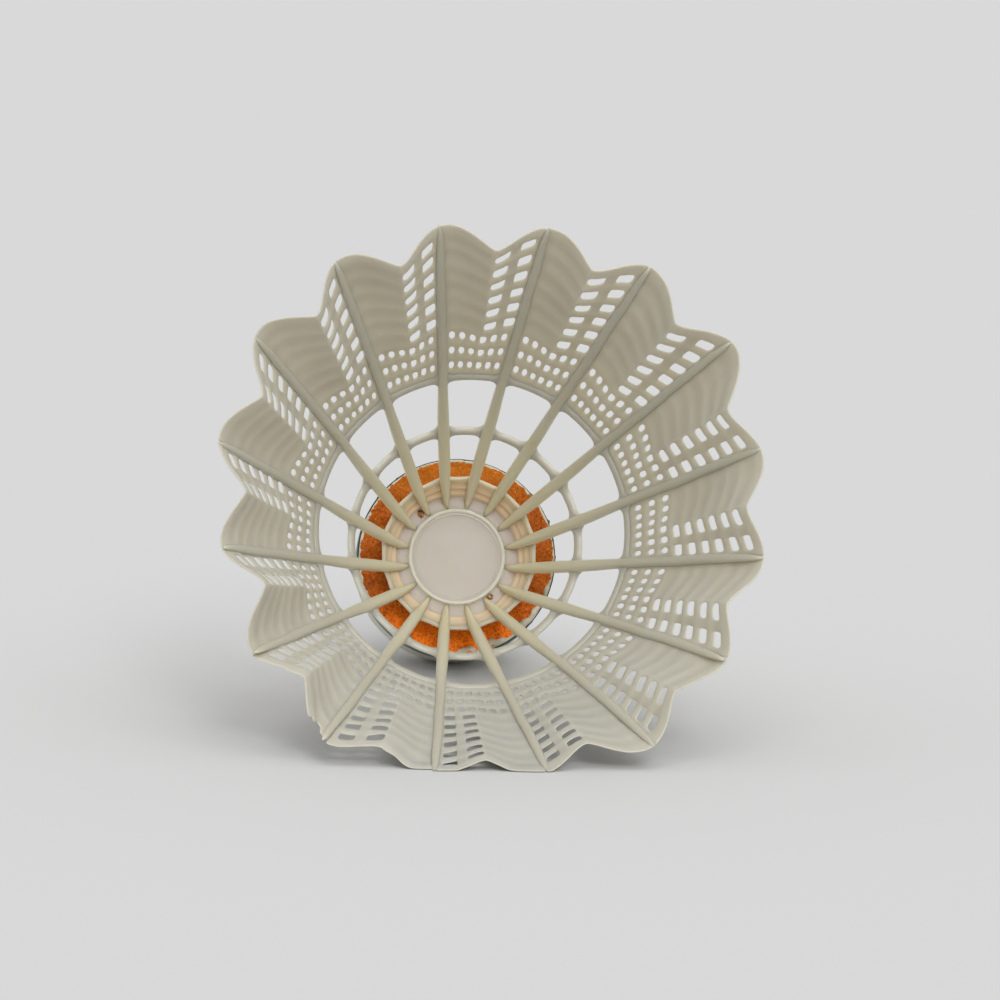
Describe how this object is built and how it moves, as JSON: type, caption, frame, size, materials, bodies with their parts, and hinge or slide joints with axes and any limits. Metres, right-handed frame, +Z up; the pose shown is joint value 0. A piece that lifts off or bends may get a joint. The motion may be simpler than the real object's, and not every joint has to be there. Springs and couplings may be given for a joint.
{
  "type": "badminton shuttlecock",
  "caption": "Synthetic badminton shuttlecock: a ribbed net skirt with a scalloped rim, flaring from a skinned cork base with a coloured band.",
  "frame": {"origin": "on the surface that the shuttlecock lies on, at the centre of its bounding box seen from above", "axes": "+Z up; +Y towards the cork nose, -Y towards the open rim; the shuttlecock lies on its side with its axis in the YZ plane, sloping down to the cork by 15.46 degrees"},
  "size_m": [0.0662, 0.0908, 0.0638],
  "materials": {
    "skirt_nylon": "translucent ivory moulded nylon, satin",
    "net_nylon": "thin translucent off-white moulded nylon, satin",
    "hub_nylon": "cream moulded nylon, smooth",
    "cork": "natural cork, cut and bored",
    "base_skin": "thin white synthetic leather skin with a trimmed edge",
    "band_green": "dark green strip",
    "amber_glue": "hardened amber adhesive with a granular, glinting surface"
  },
  "bodies": {
    "root": {"hub_plug": "hub_nylon", "lower_hoop": "skirt_nylon", "upper_hoop": "skirt_nylon", "cork_core": "cork", "base_cover": "base_skin", "speed_band": "band_green", "adhesive_ring": "amber_glue", "rib_01": "skirt_nylon", "rib_02": "skirt_nylon", "rib_03": "skirt_nylon", "rib_04": "skirt_nylon", "rib_05": "skirt_nylon", "rib_06": "skirt_nylon", "rib_07": "skirt_nylon", "rib_08": "skirt_nylon", "rib_09": "skirt_nylon", "rib_10": "skirt_nylon", "rib_11": "skirt_nylon", "rib_12": "skirt_nylon", "rib_13": "skirt_nylon", "rib_14": "skirt_nylon", "rib_15": "skirt_nylon", "rib_16": "skirt_nylon", "net_panel_01": "net_nylon", "net_panel_02": "net_nylon", "net_panel_03": "net_nylon", "net_panel_04": "net_nylon", "net_panel_05": "net_nylon", "net_panel_06": "net_nylon", "net_panel_07": "net_nylon", "net_panel_08": "net_nylon", "net_panel_09": "net_nylon", "net_panel_10": "net_nylon", "net_panel_11": "net_nylon", "net_panel_12": "net_nylon", "net_panel_13": "net_nylon", "net_panel_14": "net_nylon", "net_panel_15": "net_nylon", "net_panel_16": "net_nylon"}
  },
  "joints": []
}
